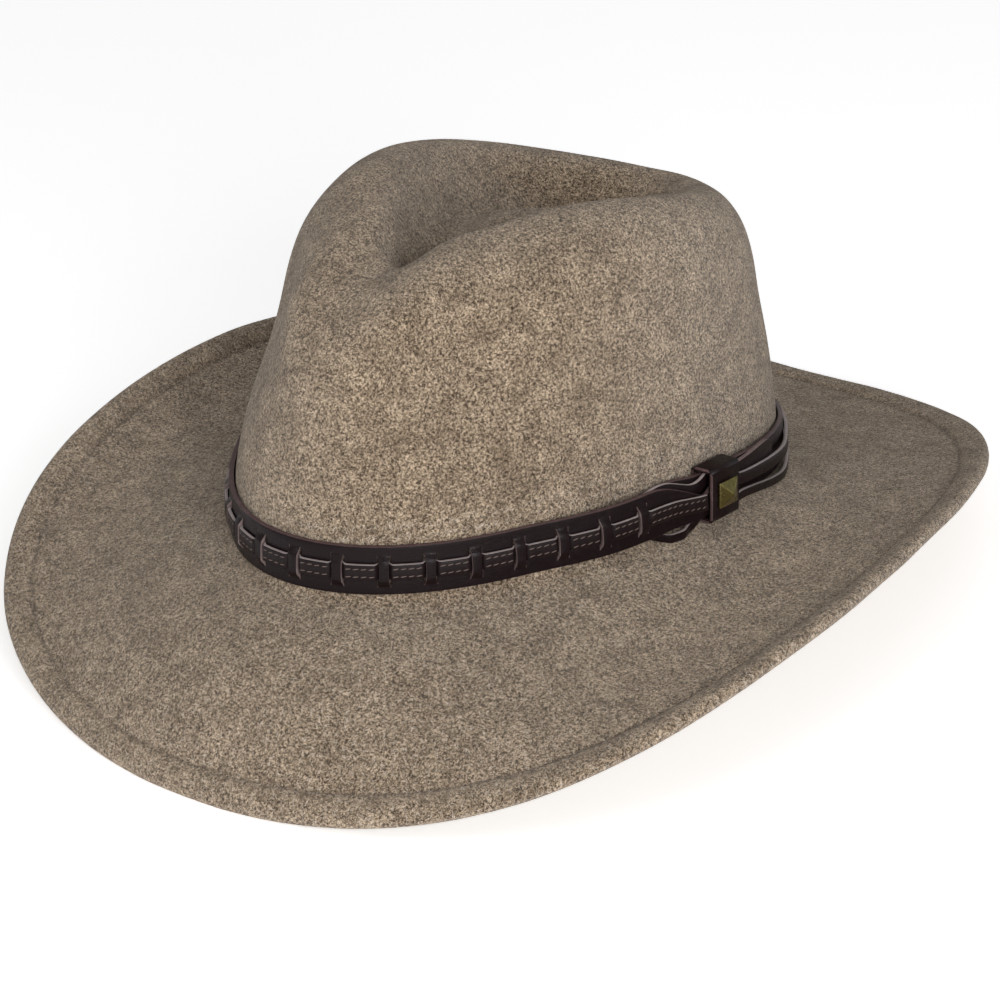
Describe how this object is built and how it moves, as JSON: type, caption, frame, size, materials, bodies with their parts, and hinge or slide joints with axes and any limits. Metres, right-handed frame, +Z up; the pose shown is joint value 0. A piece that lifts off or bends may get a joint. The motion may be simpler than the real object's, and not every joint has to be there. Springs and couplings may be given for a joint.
{
  "type": "bush hat",
  "caption": "Felt bush hat with a creased teardrop crown, a wide curled brim and a woven leather band closed by a studded keeper.",
  "frame": {"origin": "on the surface that the brim lies on, under the middle of the brim", "axes": "+Z up, -Y towards the front of the hat, +X towards the wearer's left, the side with the keeper"},
  "size_m": [0.2974, 0.3544, 0.141],
  "materials": {
    "felt": "matt mottled wool felt",
    "strap_leather": "smooth, slightly glossy",
    "lace_leather": "smooth with stitched edges",
    "keeper_leather": "smooth, slightly glossy",
    "antique_brass": "antique, rubbed bright on the edges"
  },
  "bodies": {
    "root": {"felt_body": "felt", "hat_band": "strap_leather", "woven_lace": "lace_leather", "split_tail_upper": "strap_leather", "split_tail_lower": "strap_leather", "keeper": "keeper_leather", "pyramid_stud": "antique_brass"}
  },
  "joints": []
}
